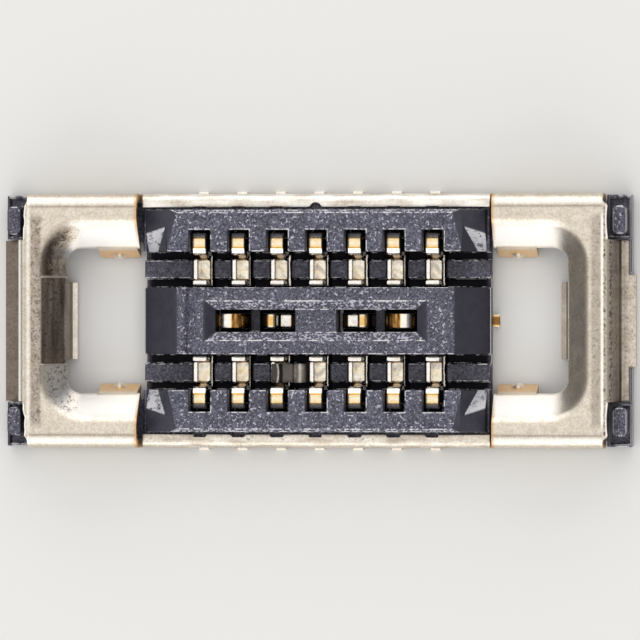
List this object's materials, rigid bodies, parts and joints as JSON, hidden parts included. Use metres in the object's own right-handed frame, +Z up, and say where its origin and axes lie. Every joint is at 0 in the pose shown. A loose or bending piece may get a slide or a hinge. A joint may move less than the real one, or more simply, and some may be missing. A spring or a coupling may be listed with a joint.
{
  "type": "board to board connector",
  "caption": "Low-profile shielded board to board receptacle: dark moulding with gold contacts beside a centre island, drawn metal end guides and solder feet.",
  "frame": {"origin": "middle of the footprint on the board, at the solder plane", "axes": "+Z up towards the mating half, +X along the contact rows, towards the end with the tongue foot, +Y across the rows"},
  "size_m": [0.0058, 0.0024, 0.0006],
  "materials": {
    "housing_plastic": "dark blue-grey moulded polymer with pale glass specks",
    "gold_plated_contact": "gold over nickel on formed copper alloy strip",
    "nickel_plated_shell": "satin nickel plate, worn along bends"
  },
  "bodies": {
    "root": {"housing": "housing_plastic", "signal_contact_01": "gold_plated_contact", "signal_contact_02": "gold_plated_contact", "signal_contact_03": "gold_plated_contact", "signal_contact_04": "gold_plated_contact", "signal_contact_05": "gold_plated_contact", "signal_contact_06": "gold_plated_contact", "signal_contact_07": "gold_plated_contact", "signal_contact_08": "gold_plated_contact", "signal_contact_09": "gold_plated_contact", "signal_contact_10": "gold_plated_contact", "signal_contact_11": "gold_plated_contact", "signal_contact_12": "gold_plated_contact", "signal_contact_13": "gold_plated_contact", "signal_contact_14": "gold_plated_contact", "centre_contact_left": "gold_plated_contact", "centre_contact_right": "gold_plated_contact", "end_shell_left": "nickel_plated_shell", "end_shell_right": "nickel_plated_shell", "side_shell_front": "nickel_plated_shell", "side_shell_rear": "nickel_plated_shell"}
  },
  "joints": []
}
